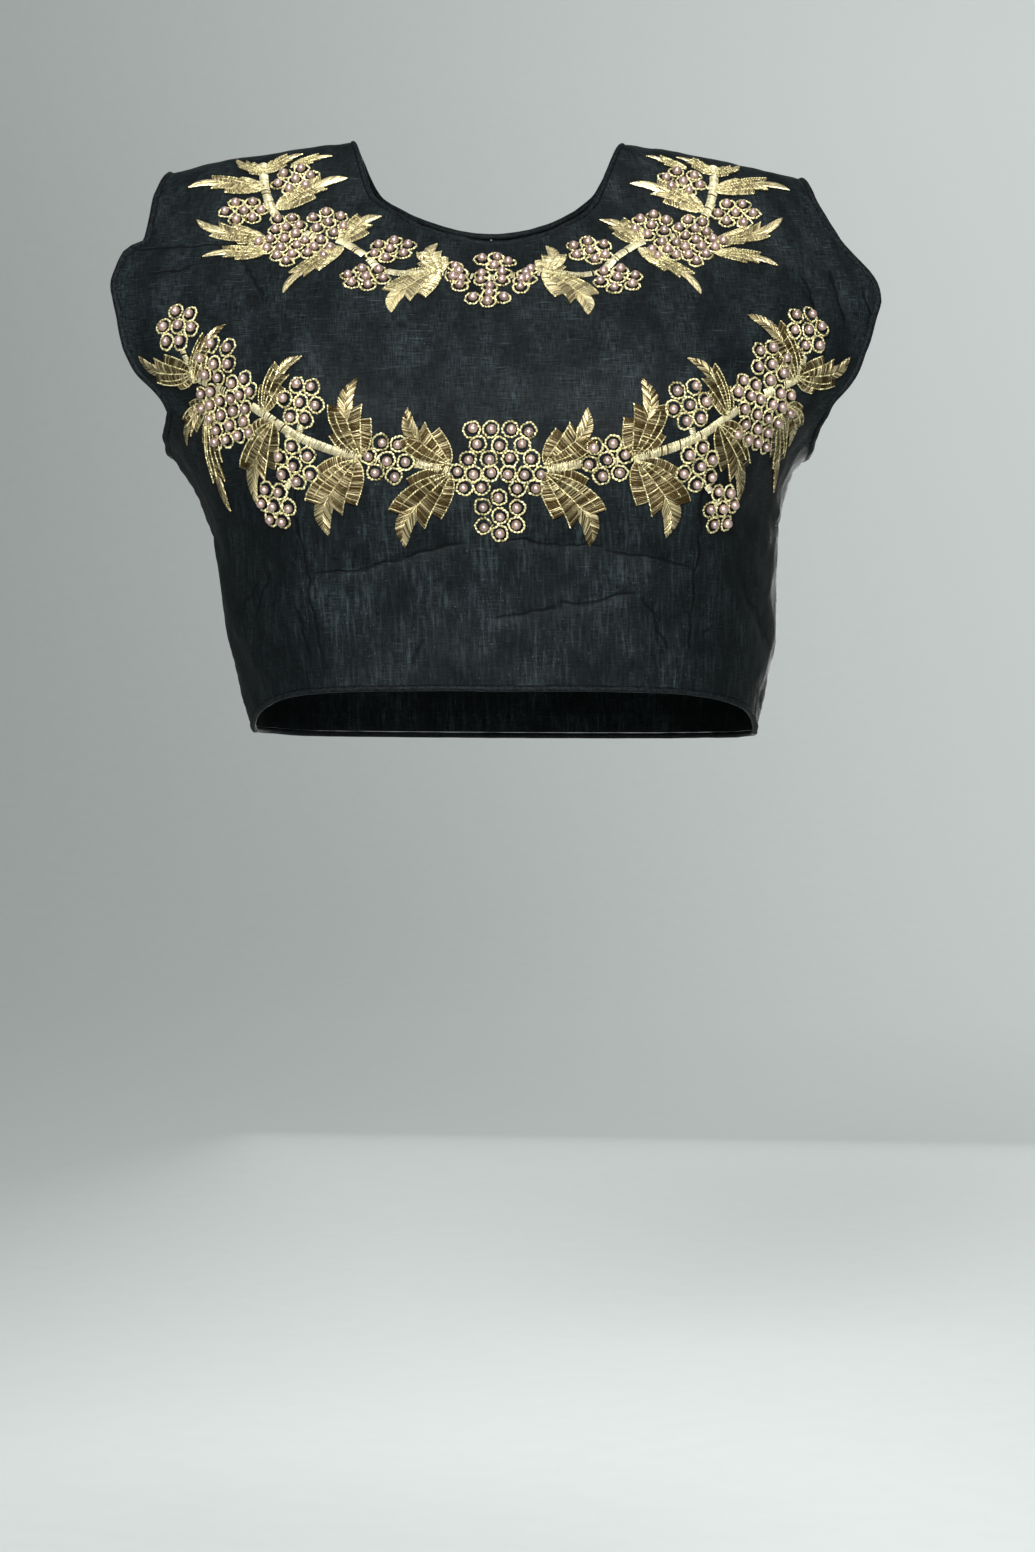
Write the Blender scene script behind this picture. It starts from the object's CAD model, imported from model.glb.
"""Looks of a choli blouse of black raw silk, with a gold thread vine and copper pearls.

Metres, in the part's own frame: +Z up, the front faces -Y and the wearer's left is +X. The cloth
follows the part's form, with finer folds. The embroidery is built thread by thread on the cloth:
satin threads, chain stitches and pearls are grown by node trees along lines laid on the front.
"""

import math
from collections import namedtuple

import bpy
import numpy as np
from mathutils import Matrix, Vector
from mathutils.bvhtree import BVHTree


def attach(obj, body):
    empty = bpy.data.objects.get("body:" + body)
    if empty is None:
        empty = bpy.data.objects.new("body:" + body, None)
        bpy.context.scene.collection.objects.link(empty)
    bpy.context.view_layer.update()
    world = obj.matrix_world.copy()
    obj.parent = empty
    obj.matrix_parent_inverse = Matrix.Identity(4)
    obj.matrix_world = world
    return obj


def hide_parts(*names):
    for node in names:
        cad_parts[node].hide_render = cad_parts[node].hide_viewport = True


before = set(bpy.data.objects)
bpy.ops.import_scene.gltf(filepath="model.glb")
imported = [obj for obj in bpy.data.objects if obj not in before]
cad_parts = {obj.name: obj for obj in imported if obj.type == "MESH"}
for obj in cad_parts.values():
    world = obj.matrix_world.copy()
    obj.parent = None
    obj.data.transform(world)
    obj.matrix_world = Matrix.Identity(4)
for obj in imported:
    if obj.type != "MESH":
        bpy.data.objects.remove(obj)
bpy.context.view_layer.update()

MM = 0.001

# Cloth and edges
CLOTH = 1.6 * MM
SIDE_GAP, BACK_GAP = 0.02 * MM, 0.8 * MM
STRIP_GAP = 0.24 * MM
NECK_POINT_Z = 7 * MM
NECK_PIPING_R = 1.5 * MM
ARMHOLE_PIPING_R = 1.9 * MM
HEM_PIPING_R = 1.5 * MM
PIPING_GAP = 0.1 * MM
# The placket's half width, and where its edge is looked for, in half turns from the front
PLACKET_HALF, PLACKET_ARC = 12 * MM, 0.75
PLACKET_CLOTH = 1.2 * MM

# How the form leans on the wearer: sideways and down to the wearer's left, for each metre
LEAN = -0.031
TILT = 0.005

# The form's rings, in millimetres. out is the distance from the middle, drop the distance below
# the neck point, for the centre front, the centre back and the side. rise sets how late a ring
# turns from its front height to its side height, and square how full its corners are.
Ring = namedtuple("Ring", "front_out front_drop back_out back_drop side_out side_drop rise square")
RINGS = (
    Ring(90, 272, 85, 292, 126, 291, 1.9, 0.80),
    Ring(97, 236, 84, 259, 135, 254, 2.2, 0.80),
    Ring(106, 206, 85, 232, 138, 226, 2.0, 0.82),
    Ring(113, 181, 87, 206, 140, 200, 1.9, 0.84),
    Ring(117, 160, 90, 183, 146, 177, 1.8, 0.85),
    Ring(118, 141, 93, 160, 158, 156, 1.8, 0.86),
    Ring(115, 125, 95, 141, 172, 152, 1.7, 0.87),
    Ring(109, 112, 95, 122, 196, 133, 1.6, 0.88),
    Ring(102, 101, 93, 105, 209, 88, 1.6, 0.90),
    Ring(95, 92, 89, 90, 208, 42, 1.6, 0.92),
    Ring(88, 84, 84, 77, 183, 19, 1.4, 0.95),
    Ring(81, 77, 78, 66, 156, 15, 1.25, 0.97),
    Ring(74, 71, 70, 57, 130, 9, 1.15, 1.0),
    Ring(67, 65, 61, 48, 99, 4, 1.05, 1.0),
    Ring(60, 59, 52, 38, 69, 0, 0.95, 1.0),
)
HEM, ARMPIT, SHOULDER_TIP, NECK = 0.0, 5.0, 11.0, 14.0
ARMHOLE_FRONT = math.radians(32)
ARMHOLE_BACK = math.radians(42)
CREST_SIDE, CREST_BEFORE, CREST_AFTER = 0.80, 1.5, 0.5
FRONT_FADE, SIDE_FADE = 0.4, 0.5

# How far the sides stand off to the wearer's right at each height, in millimetres
SIDE_DROPS = (0, 30, 52, 70, 84, 96, 110, 125, 140, 150, 162, 178, 205, 245, 295)
SIDE_SHIFTS = (0, 3, 1, -3, -5, -3, 0, -1, -1, 4, 6, 4.5, 2, 1, 0)

# Bust shaping and the waist darts, in millimetres
BUST_OUT, BUST_X, BUST_DROP, BUST_WIDE, BUST_TALL = 20, 88, 152, 40, 42
DART_HEM_X, DART_HEM_DROP, DART_TIP_X, DART_TIP_DROP = 86, 272, 100, 152
DART_RIDGE, DART_REACH, DART_GROOVE, DART_FADE = 2.6, 38, 1.0, 40
DART_GROOVE_WIDTH = 0.8

# The front's largest folds, in millimetres from the centre and below the neck point. A trough
# runs from its start to its end; a negative depth is a ridge.
Fold = namedtuple("Fold", "start_x start_drop end_x end_drop half_width depth")
FOLDS = (
    Fold(-90, 221, -14, 206, 8, 1.6),
    Fold(2, 206, 88, 214, 8, 1.6),
    Fold(-10, 246, 66, 229, 9, -1.2),
    Fold(66, 234, 82, 268, 8, 1.8),
    Fold(-132, 246, -100, 214, 9, 1.5),
    Fold(118, 212, 136, 252, 9, 1.5),
    Fold(152, 62, 162, 104, 8, 1.8),
    Fold(172, 66, 182, 104, 8, 1.6),
    Fold(-112, 72, -104, 108, 10, 1.5),
    Fold(96, 88, 92, 118, 10, -1.2),
    Fold(-92, 86, -88, 116, 10, -1.2),
)
# Sharp creases of the front, within and beside those folds
CREASES = (
    Fold(-92, 222, -44, 213, 2.2, 1.0),
    Fold(-50, 214, -14, 205, 2.0, 0.9),
    Fold(-2, 205, 52, 207, 2.0, 1.0),
    Fold(46, 208, 96, 217, 2.4, 0.8),
    Fold(-8, 242, 30, 236, 2.0, 0.7),
    Fold(24, 236, 66, 228, 2.0, 0.9),
    Fold(66, 230, 80, 256, 2.0, 1.2),
    Fold(-44, 266, -38, 251, 2.0, 0.7),
    Fold(112, 214, 131, 252, 2.2, 1.2),
    Fold(94, 246, 100, 243, 2.0, 0.7),
    Fold(-108, 216, -121, 241, 2.2, 1.2),
    Fold(-116, 219, -128, 239, 2.2, 0.9),
    Fold(-98, 232, -92, 262, 2.4, 0.7),
    Fold(-60, 128, 40, 120, 4.0, 0.5),
    Fold(-30, 138, 62, 134, 4.0, -0.4),
    Fold(-66, 112, -10, 116, 3.6, 0.4),
    Fold(10, 108, 74, 114, 3.6, 0.4),
    Fold(148, 70, 157, 98, 2.6, 1.1),
    Fold(164, 66, 171, 100, 2.8, 1.2),
    Fold(178, 74, 187, 104, 2.6, 0.9),
    Fold(140, 78, 144, 96, 2.6, 0.6),
    Fold(-168, 74, -142, 70, 2.4, 0.7),
    Fold(-120, 66, -108, 92, 3.0, 0.8),
    Fold(-180, 59, -116, 57, 2.4, 1.4),
    Fold(-150, 196, -128, 190, 3.0, 0.7),
    Fold(128, 188, 146, 192, 3.0, 0.7),
)
# Soft creases of the back, of which x counts from the centre back towards the wearer's left
BACK_CREASES = (
    Fold(-96, 236, -30, 246, 6.0, 1.2),
    Fold(24, 248, 92, 238, 6.0, 1.2),
    Fold(-70, 214, -8, 222, 7.0, 0.9),
    Fold(10, 220, 78, 212, 7.0, 0.9),
    Fold(-128, 120, -84, 150, 8.0, 1.2),
    Fold(128, 118, 84, 150, 8.0, 1.2),
)
FOLD_END = 0.35
# The tuck below the right shoulder, where the cloth under the line stands out over the cloth above
TUCK_INNER_X, TUCK_OUTER_X, TUCK_DROP, TUCK_OUT, TUCK_IN = -112, -186, 58, 4.5, 5.0
TUCK_TURN, TUCK_BELOW, TUCK_ABOVE = 2.2, 30, 34

# Small waves all over the cloth, in millimetres
CRUMPLE_SEED, CRUMPLE_WAVES = 11, 30
CRUMPLE_SHORT, CRUMPLE_LONG, CRUMPLE_DEPTH = 9, 70, 0.0042
PUCKER_LENGTH, PUCKER_REACH, PUCKER_DEPTH = 7.0, 7.0, 0.22
FACING_HEIGHT, FACING_GROOVE, FACING_WIDTH = 9.0, 0.35, 0.9

# How much longer the cloth is than its height, on average, where it leans back over the chest
GRAIN_STEEPNESS = 1.12
# The thin dark lines along creases and seams: half width, sway, depth in bump heights and how
# soon they reach their full strength
LINE_WIDTH, LINE_SWAY, LINE_DEPTH, LINE_TAPER = 1.3 * MM, 8 * MM, 2.2, 6.0
# Only creases deeper than this, in millimetres, show such a line
LINE_CREASE = 0.6
# How thickly each pattern of the silk is set across and up the cloth, in cells a metre
WARP_CELLS, WEFT_CELLS = (1700, 160, 1), (150, 1900, 1)
SLUB_CELLS, STREAK_CELLS = (70, 900, 1), (620, 62, 1)
FLECK_CELLS, PATCH_CELLS = (1250, 620, 1), (60, 26, 1)
SWAY_CELLS, PATCH_ROUGHNESS, NOISE_MIDDLE = 70.0, 0.65, (0.5, 0.5, 0.5)
# Between which values of its noise each pattern comes in, and how high three of them stand
THREAD_RANGE, SLUB_RANGE, STREAK_RANGE = (0.38, 0.68), (0.60, 0.76), (0.44, 0.76)
FLECK_RANGE, PATCH_RANGE = (0.66, 0.80), (0.36, 0.68)
THREAD_HEIGHT, SLUB_HEIGHT, STREAK_HEIGHT = 0.55, 0.4, 0.2
# How much each pattern lightens the silk. Over the chest there is more of the threads and slubs,
# and less of the streaks and flecks, by these amounts.
THREAD_LIGHT, SLUB_LIGHT, STREAK_LIGHT, FLECK_LIGHT = 0.36, 0.24, 0.42, 1.6
CHEST_THREADS, CHEST_SLUBS, CHEST_STREAKS, CHEST_FLECKS = 0.14, 0.34, 0.32, 0.8
# How much its patches and its less worn parts change that light, and how dark the thin lines are
PATCH_SPREAD, PATCH_BASE, UNWORN_SHADE, LINE_SHADE = 0.90, 0.32, 0.55, 0.9
# The finish of the silk and of the bindings: colours, roughness and bump
SILK_DARK, SILK_LIGHT = (0.0017, 0.0026, 0.0030), (0.028, 0.0395, 0.043)
SILK_ROUGH, SILK_POLISH, SILK_BUMP, SILK_BUMP_SHARE = 0.62, 0.12, 0.22 * MM, 0.85
BINDING_DARK, BINDING_LIGHT = (0.002, 0.0026, 0.003), (0.010, 0.013, 0.0145)
BINDING_WEAVE_CELLS, BINDING_FOLD_CELLS = 900.0, 160.0
BINDING_RANGE, BINDING_WEAVE_HEIGHT = (0.35, 0.7), 0.5
BINDING_ROUGH, BINDING_POLISH, BINDING_BUMP, BINDING_BUMP_SHARE = 0.68, 0.14, 0.3 * MM, 0.7
# Black silk and cotton hardly mirror anything
DULL_SPECULAR = 0.06
# The cloth is less worn, and darker, far from the middle and low down, in metres of its grain
UNWORN_ACROSS, UNWORN_UP = (0.080, 0.115), (-0.20, -0.14)
# Over the chest the weft shows more than the warp
CHEST_UP = (-0.22, -0.17)

# Grid of the cloth
ROWS_SIDE, ROWS_ARMHOLE, ROWS_SHOULDER = 92, 72, 36
COLUMNS_HALF_FRONT, COLUMNS_BACK, COLUMNS_PLACKET = 94, 84, 8
ARC_SAMPLES = 260
SHARP_EDGE = math.radians(60)

# Embroidery, in millimetres: bunches of ringed pearls and toothed leaves along a stem. Each row
# of a bunch holds count pearls, pitch apart, at a distance down from its first row.
PearlRow = namedtuple("PearlRow", "down count pitch")
POSY = (PearlRow(0, 2, 8.4), PearlRow(7.3, 3, 8.4), PearlRow(14.6, 2, 8.4))
GRAPE = (
    PearlRow(0, 4, 8.7),
    PearlRow(6.5, 3, 10.2),
    PearlRow(13, 4, 9.6),
    PearlRow(20, 6, 7.9),
    PearlRow(26.5, 2, 33),
    PearlRow(26.5, 2, 16.6),
    PearlRow(31.5, 1, 0),
    PearlRow(36, 2, 16),
    PearlRow(39.5, 1, 0),
    PearlRow(44.5, 2, 15.6),
    PearlRow(48, 1, 0),
)
BELL = (
    PearlRow(0, 1, 0),
    PearlRow(4, 2, 13.5),
    PearlRow(8.5, 1, 0),
    PearlRow(12, 2, 36),
    PearlRow(16, 4, 10.5),
    PearlRow(20.5, 2, 36),
    PearlRow(22, 4, 9.8),
    PearlRow(27.5, 3, 14.5),
    PearlRow(33, 1, 0),
    PearlRow(36, 2, 14.5),
    PearlRow(39, 1, 0),
)
PEARL_R, PEARL_LIFT, PEARL_SWAY = 2.2, 1.8, (0.075, 0.75)
RING_R, RING_POINTS, RING_LIFT, RING_WANDER, PEARL_STRAY = 3.7, 18, 0.7, 0.3, 0.45
# How near a ring's middle the stem's threads stop
RING_CLEAR = 4.3

# Placed from the centre front and below the neck point. turn is the way a leaf points, in degrees
# as seen from the front, and how far a bunch is turned. width is a share of the usual width, and
# a negative one bows a leaf the other way. The sprigs are mirrored to the other side, apart from
# the single ones.
Sprig = namedtuple("Sprig", "kind x drop turn size width", defaults=(1.0,))
BUST_STEM = (
    (0, 174), (21, 173), (37, 170), (52, 169), (65, 167), (82, 162), (95, 156), (106, 148),
    (117, 140), (144, 125),
)
BUST_STALKS = (
    ((97, 155), (96, 163), (94, 172), (100, 182), (104, 190)),
    ((92, 158), (90, 150)),
    ((142, 126), (148, 113), (150, 104)),
)
BUST_SINGLE = (
    Sprig("bunch", 1, 178, -3, GRAPE),
    Sprig("leaf", 143, 127, 118, 36, 0.8),
    Sprig("leaf", -143, 128, 66, 30, 0.62),
)
BUST_SPRIGS = (
    Sprig("leaf", 22, 170, 52, 33),
    Sprig("leaf", 22, 174, -59, 41),
    Sprig("bunch", 51, 168, 10, POSY),
    Sprig("leaf", 63, 167, 84, 34),
    Sprig("leaf", 65, 168, -68, 41),
    Sprig("bunch", 90, 142, 15, POSY),
    Sprig("bunch", 94, 170, 30, POSY),
    Sprig("bunch", 105, 188, 10, POSY),
    Sprig("leaf", 108, 146, 118, 31, 0.75),
    Sprig("leaf", 103, 150, -68, 44, 0.85),
    Sprig("bunch", 128, 134, 170, GRAPE, 0.92),
    Sprig("leaf", 143, 124, 20, 34, 0.85),
    Sprig("bunch", 150, 102, 10, POSY),
    Sprig("leaf", 138, 138, -61, 32, 0.7),
    Sprig("leaf", 135, 142, -92, 48, 0.5),
)
NECK_STEM = (
    (0, 78), (21, 76), (33, 76), (46, 76), (54, 73), (59, 67), (65, 62), (73, 57),
    (86, 54), (99, 49), (107, 37), (110, 27), (111, 14),
)
NECK_STALKS = (((54, 74), (60, 78)), ((107, 35), (118, 40)), ((110, 26), (98, 24)))
NECK_SINGLE = (Sprig("bunch", 0, 79, 0, BELL),)
NECK_SPRIGS = (
    Sprig("leaf", 25, 76, 86, 25),
    Sprig("leaf", 25, 75, -43, 39, 0.85),
    Sprig("bunch", 48, 63, -17, POSY, 0.9),
    Sprig("bunch", 60, 79, 12, POSY, 0.95),
    Sprig("leaf", 71, 58, 142, 26, 0.9),
    Sprig("leaf", 71, 61, -44, 46, 0.40),
    Sprig("bunch", 89, 54, 222, GRAPE, 0.84),
    Sprig("leaf", 109, 55, 16, 38, 0.5),
    Sprig("leaf", 108, 63, -10, 31, 0.6),
    Sprig("leaf", 104, 39, 157, 39, 0.5),
    Sprig("bunch", 120, 40, 0, POSY, 0.75),
    Sprig("bunch", 95, 23, -14, POSY, 0.7),
    Sprig("leaf", 111, 28, 4, 37, -0.5),
    Sprig("leaf", 110, 19, 150, 22, 0.6),
    Sprig("leaf", 110, 19, 35, 20, 0.6),
    Sprig("leaf", 97, 16, 160, 21, 0.4),
)
STEM_WIDTH, STALK_WIDTH, STEM_PITCH, STEM_SLANT = 4.2, 2.9, 0.72, 0.35
STEM_ARCH = (0.3, 0.95, 1.2, 0.95, 0.3)
STEM_STEP, STEM_GAPS, STRIP_EVERY = 1.5, 0.07, 5
STEM_DARK, STEM_LIGHT = 0.2, 1.0
SLANT_WANDER, STEM_WIDTHS = 0.12, (0.94, 1.06)
VIEW_Y, SIDE_Y, PROBE = -1.0, -0.06, 0.02

# A leaf's ribs as curves from its foot, each with a bend and an end, in shares of its length. The
# whole leaf is bowed afterwards, so that its tip hooks over.
Rib = namedtuple("Rib", "bend_along bend_aside end_along end_aside")
LEAF_RIBS = (
    Rib(0.00, 0.26, 0.30, 0.31),
    Rib(0.22, 0.29, 0.71, 0.23),
    Rib(0.50, 0.00, 1.00, 0.00),
    Rib(0.28, -0.13, 0.69, -0.23),
    Rib(0.10, -0.24, 0.50, -0.32),
)
MID_RIB = 2
# Each vein follows a rib, at a height above the cloth in millimetres, up to a share of the rib
Vein = namedtuple("Vein", "rib lift reach")
LEAF_VEINS = (
    Vein(LEAF_RIBS[0], 0.8, 0.99),
    Vein(LEAF_RIBS[1], 1.15, 0.99),
    Vein(Rib(0.30, 0.16, 0.66, 0.14), 1.35, 0.92),
    Vein(LEAF_RIBS[MID_RIB], 1.35, 0.66),
    Vein(LEAF_RIBS[3], 1.15, 0.99),
    Vein(LEAF_RIBS[4], 0.8, 0.99),
)
# Each band of satin runs between two ribs, up to a share of the inner one, and ends in a tooth
Band = namedtuple("Band", "outer inner inner_share")
LEAF_BANDS = (Band(0, 1, 0.58), Band(1, 2, 0.66), Band(3, 2, 0.60), Band(4, 3, 0.76))
LEAF_BOW = 0.30
# The leaf's bright tip: where its threads start on the middle rib, and how far out they end
TIP_FROM, TIP_TO, TIP_WIDE, TIP_SLANT, TIP_ROUND = 0.50, 0.97, 0.105, 0.17, 4
BAND_PITCH, TIP_PITCH, BAND_ARCH, TIP_ARCH, LEAF_EDGE_LIFT = 0.76, 0.62, 0.75, 0.6, 0.4
# Where the threads of a band, of the tip and of a vein start, how many they are at least, and how
# much they vary
BAND_FROM, BAND_STRETCH, BAND_FEWEST = 0.06, 1.12, 8
TIP_SLANTS, TIP_FALL, TIP_THICKNESS, TIP_FEWEST = (0.9, 1.1), 0.5, 1.1, 8
VEIN_FROM, VEIN_STEP, VEIN_FEWEST = 0.03, 3.0, 5
GROUND_LIFT, GROUND_ROWS, GROUND_CLOTH = 0.3, 8, 0.2 * MM
THREAD_SEED = 5
# Tones of the threads, from 0 for the dark to 1 for the light of a finish
BUST_TONE, NECK_TONE, BAND_SPREAD, TIP_TONE, TIP_SPREAD = -0.13, 0.50, 0.34, 0.28, 0.50
GLINT, GLINT_RARITY = 0.9, 6
# A thread's points, and which part of half a circle its arch takes
THREAD_SHARES = (0.0, 0.33, 0.67, 1.0)
ARCH_START, ARCH_RUN = 0.12, 0.76

# How unevenly it is stitched: in tones, in shares of a leaf's length and in shares of a pearl's size
LEAF_TONES, VEIN_TONES, RING_TONES, PEARL_TONES = (-0.06, 0.08), (0.5, 0.7), (0.55, 0.95), (0.2, 1)
BAND_WANDER, PEARL_SIZES = 0.006, (0.92, 1.05)
LINK_TONE_SPREAD, PLAIN_TONE = 0.6, 0.5

# The threads' finishes. Foil is the glint of a thread's winding, and cells are counted a metre.
ThreadLook = namedtuple("ThreadLook", "name dark light roughness metallic")
THREAD_LOOKS = (
    ThreadLook("gold_satin", (0.062, 0.040, 0.010), (0.82, 0.72, 0.42), 0.38, 0.85),
    ThreadLook("cream_satin", (0.30, 0.25, 0.12), (0.80, 0.76, 0.52), 0.40, 0.55),
    ThreadLook("pale_chain", (0.12, 0.098, 0.030), (0.84, 0.77, 0.42), 0.34, 0.65),
)
FOIL_CELLS, WEAR_CELLS, PEARL_CELLS, SPECK_CELLS = 3200.0, 260.0, 420.0, 900.0
TONE_SHARE, FOIL_SHARE, WEAR_SHARE, TONE_DROP = 0.8, 0.22, 0.16, 0.06
FOIL_RANGE, FOIL_ROUGH, FOIL_SMOOTH = (0.35, 0.75), 0.22, 0.08
FOIL_BUMP, FOIL_BUMP_SHARE = 0.12 * MM, 0.6
SPECK_SHADE, SPECK_ROUGH = 0.8, 0.1
PEARL_LUSTRE = {"Metallic": 0.45, "Coat Weight": 1.0, "Coat IOR": 2.2, "Coat Roughness": 0.36}
PEARL_DARK, PEARL_LIGHT = (0.16, 0.094, 0.076), (0.40, 0.26, 0.215)
PEARL_BY_TONE, PEARL_BY_CLOUD, PEARL_ROUGH, PEARL_CLOUD = 0.7, 0.3, 0.28, 0.08
DARK_THREAD, DARK_THREAD_ROUGH = (0.008, 0.010, 0.011), 0.6
GOLD_GROUND, GOLD_GROUND_ROUGH = (0.085, 0.058, 0.022), 0.7

# Sizes given to the node trees
SATIN_R, SATIN_SIDES = 0.30 * MM, 4
STEM_THREAD_R = 0.33 * MM
PEARL_SEGMENTS, PEARL_RINGS, LINK_SEGMENTS, LINK_RINGS = 14, 9, 8, 5
RING_SWING, VEIN_SWING, STITCH_SWING = 0.65, 0.5, 0.05
CHAIN = {
    "Spacing": 1.7 * MM, "Length": 2.0 * MM, "Width": 1.15 * MM, "Height": 1.1 * MM, "Swing": RING_SWING,
}
VEIN = {
    "Spacing": 1.35 * MM, "Length": 1.5 * MM, "Width": 0.72 * MM, "Height": 0.7 * MM, "Swing": VEIN_SWING,
}
STITCH = {
    "Spacing": 3.2 * MM, "Length": 2.3 * MM, "Width": 0.45 * MM, "Height": 0.4 * MM, "Swing": STITCH_SWING,
}
PIPING_SIDES = 14
PIPING_NODES = ("neck_piping", "hem_piping", "armhole_piping_left", "armhole_piping_right")
# The ripple of a bias strip: its share of the radius, its two rates in radians a step, and the
# most that the quick one is shifted
RIPPLE_DEPTH, RIPPLE_SHORT, RIPPLE_LONG, RIPPLE_START = 0.02, 0.9, 0.37, 6

# Camera and light
CAMERA_PLACE = (0.0145, -1.7, -0.308)
VIEW_HEIGHT = 0.776
SENSOR = 36
FLOOR_Z, FLOOR_HALF, WALL_Y, WALL_TOP, WALL_TURN, WALL_STEPS = -0.72, 9.0, 6.0, 6.0, 2.0, 24
Lamp = namedtuple("Lamp", "name place aim size power")
LAMPS = (
    Lamp("key_light", (-0.5, -2.4, 0.65), (0, 0, -0.15), 0.6, 7.0),
    Lamp("fill_light", (1.3, -2.1, 0.1), (0, 0, -0.15), 1.2, 0.5),
    Lamp("front_light", (0.1, -2.4, 0.1), (0, 0, -0.15), 0.35, 3.5),
    Lamp("top_light", (0.2, -0.4, 1.6), (0, 0, -0.1), 0.8, 1.2),
    Lamp("back_light", (0.3, 2.2, -0.1), (0, 0, -0.15), 1.2, 5.0),
)
LAMP_SPREAD = math.radians(50)
WORLD_LIGHT = (0.045, 0.049, 0.049)
BACKDROP_DARK, BACKDROP_LIGHT = (0.185, 0.197, 0.194), (0.47, 0.50, 0.485)
WASH_ACROSS, WASH_UP, WASH_RANGE = 0.9, 0.3, (-1.6, 2.0)
PAPER_DARK, PAPER_LIGHT, PAPER_CELLS = (0.52, 0.55, 0.54), (0.56, 0.59, 0.58), 40


def smooth_step(value, low, high):
    share = np.clip((value - low) / (high - low), 0, 1)
    return share * share * (3 - 2 * share)


def on_curve(ends, slopes, share):
    """A share of the way along the smooth curve between two ends, with the slopes it has there."""
    return (
        ends[0] * (1 + 2 * share) * (1 - share) ** 2
        + slopes[0] * share * (1 - share) ** 2
        + ends[1] * share**2 * (3 - 2 * share)
        - slopes[1] * share**2 * (1 - share)
    )


def ring_values(t):
    """The rings' columns at any place t between the first ring and the last, on smooth curves."""
    table = np.array(RINGS, float)
    slope = np.gradient(table, axis=0)
    low = np.clip(np.floor(t).astype(int), 0, len(table) - 2)
    share = (t - low)[..., None]
    return on_curve((table[low], table[low + 1]), (slope[low], slope[low + 1]), share)


def dart_x(drop):
    """The dart's distance from the centre front at a height."""
    share = np.clip((DART_HEM_DROP - drop) / (DART_HEM_DROP - DART_TIP_DROP), 0, 1)
    return DART_HEM_X + (DART_TIP_X - DART_HEM_X) * share


def dart_strength(drop):
    return smooth_step(drop, DART_TIP_DROP, DART_TIP_DROP + DART_FADE)


def folds_out(folds, x, drop):
    """How far a table of folds moves the cloth out, in millimetres."""
    out = np.zeros_like(x)
    for fold in folds:
        start = np.array((fold.start_x, fold.start_drop), float)
        run = np.array((fold.end_x, fold.end_drop)) - start
        along = ((x - start[0]) * run[0] + (drop - start[1]) * run[1]) / (run @ run)
        near = np.clip(along, 0, 1)
        away = np.hypot(x - start[0] - near * run[0], drop - start[1] - near * run[1])
        taper = FOLD_END + (1 - FOLD_END) * np.sin(math.pi * near)
        out -= fold.depth * taper * np.exp(-((away / fold.half_width) ** 2))
    return out


def tuck_out(x, drop):
    """How far the tuck below the right shoulder moves the cloth out, in millimetres."""
    strength = smooth_step(-x, -TUCK_INNER_X, -TUCK_OUTER_X)
    below = drop - TUCK_DROP
    stands_out = TUCK_OUT * np.exp(-((below / TUCK_BELOW) ** 2))
    sinks_in = -TUCK_IN * np.exp(-((below / TUCK_ABOVE) ** 2))
    step = np.where(below > 0, stands_out, sinks_in)
    return strength * step * np.tanh(np.abs(below) / TUCK_TURN)


def form(angle, t, folds=True):
    """Points of the worn form. angle is measured round from the centre front, positive to +X."""
    angle, t = np.broadcast_arrays(np.asarray(angle, float), np.asarray(t, float))
    ring = Ring(*np.moveaxis(ring_values(t), -1, 0))
    ahead = np.cos(angle) >= 0
    middle, side = np.abs(np.cos(angle)), np.abs(np.sin(angle))
    out = np.where(ahead, ring.front_out, ring.back_out)
    middle_drop = np.where(ahead, ring.front_drop, ring.back_drop)
    x = np.sign(np.sin(angle)) * ring.side_out * side**ring.square
    y = np.where(ahead, -1, 1) * out * middle**ring.square
    climb = (1 - middle) ** ring.rise
    crest = smooth_step(t, SHOULDER_TIP - CREST_BEFORE, SHOULDER_TIP + CREST_AFTER)
    crest = crest * smooth_step(side, CREST_SIDE, 1)
    climb = climb + crest * (1 - middle**2 - climb)
    drop = middle_drop + (ring.side_drop - middle_drop) * climb
    aside, below = (np.abs(x) - BUST_X) / BUST_WIDE, (drop - BUST_DROP) / BUST_TALL
    cups = BUST_OUT * np.exp(-(aside**2 + below**2) / 2)
    from_dart = np.abs(np.abs(x) - dart_x(drop)) / DART_REACH
    ridge = DART_RIDGE * dart_strength(drop) * np.clip(1 - from_dart, 0, 1)
    fade = np.where(ahead, smooth_step(middle, 0, FRONT_FADE), 0)
    folded = (folds_out(FOLDS, x, drop) + tuck_out(x, drop)) * fade if folds else 0
    y = y - (cups + ridge) * fade - folded * middle
    x = x + folded * np.sin(angle)
    x = x - np.interp(drop, SIDE_DROPS, SIDE_SHIFTS) * smooth_step(side, SIDE_FADE, 1)
    z = NECK_POINT_Z / MM - drop
    return np.stack((x + LEAN * z, y, z - TILT * x), -1) * MM


def form_normals(angle, t):
    """Unit normals of the form without its folds, facing out."""
    step = 0.01
    low, high = np.clip(np.asarray(t) - step, HEM, NECK), np.clip(np.asarray(t) + step, HEM, NECK)
    across = form(angle + step, t, False) - form(angle - step, t, False)
    up = form(angle, high, False) - form(angle, low, False)
    normal = np.cross(across, up)
    return normal / np.linalg.norm(normal, axis=-1, keepdims=True)


def bare_form(angles, places):
    """Points of the form and its normals at angles round it and places up it."""
    places = places + np.zeros_like(angles)
    return form(angles, places), form_normals(angles, places)


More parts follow.
